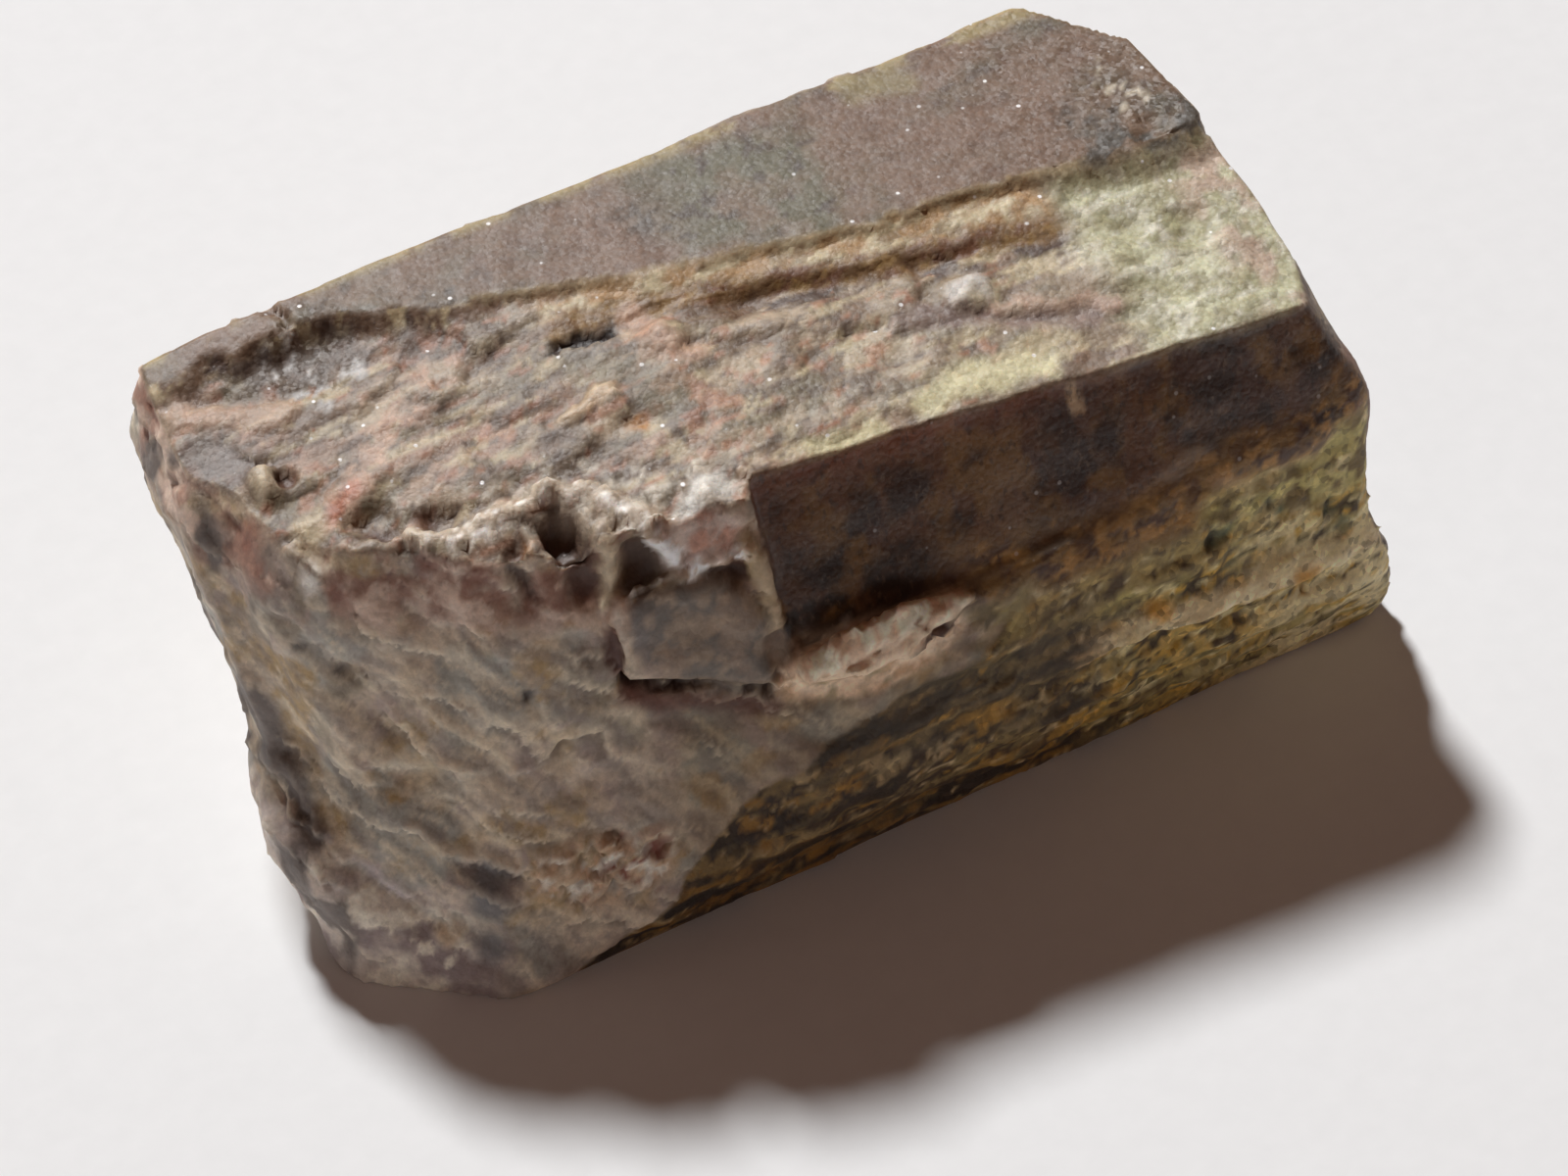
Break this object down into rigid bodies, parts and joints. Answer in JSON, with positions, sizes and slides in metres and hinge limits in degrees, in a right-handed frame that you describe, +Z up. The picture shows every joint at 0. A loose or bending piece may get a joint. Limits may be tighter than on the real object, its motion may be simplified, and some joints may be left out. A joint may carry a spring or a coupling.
{
  "type": "apatite crystal specimen",
  "caption": "Broken stubby six-sided prism of massive brown and grey apatite with one shell-like fractured end, lying on a prism face.",
  "frame": {"origin": "middle of the bounding box in plan, on the surface that the crystal rests on", "axes": "+X along the crystal's long axis towards its square broken end, -Y towards the stepped front with the glassy face, +Z up"},
  "size_m": [0.0422, 0.0236, 0.017],
  "materials": {
    "stone": "rough broken mineral, grey frosted top, pale band, dark glassy face, ochre ribbed front"
  },
  "bodies": {
    "root": {"apatite_crystal": "stone"}
  },
  "joints": []
}
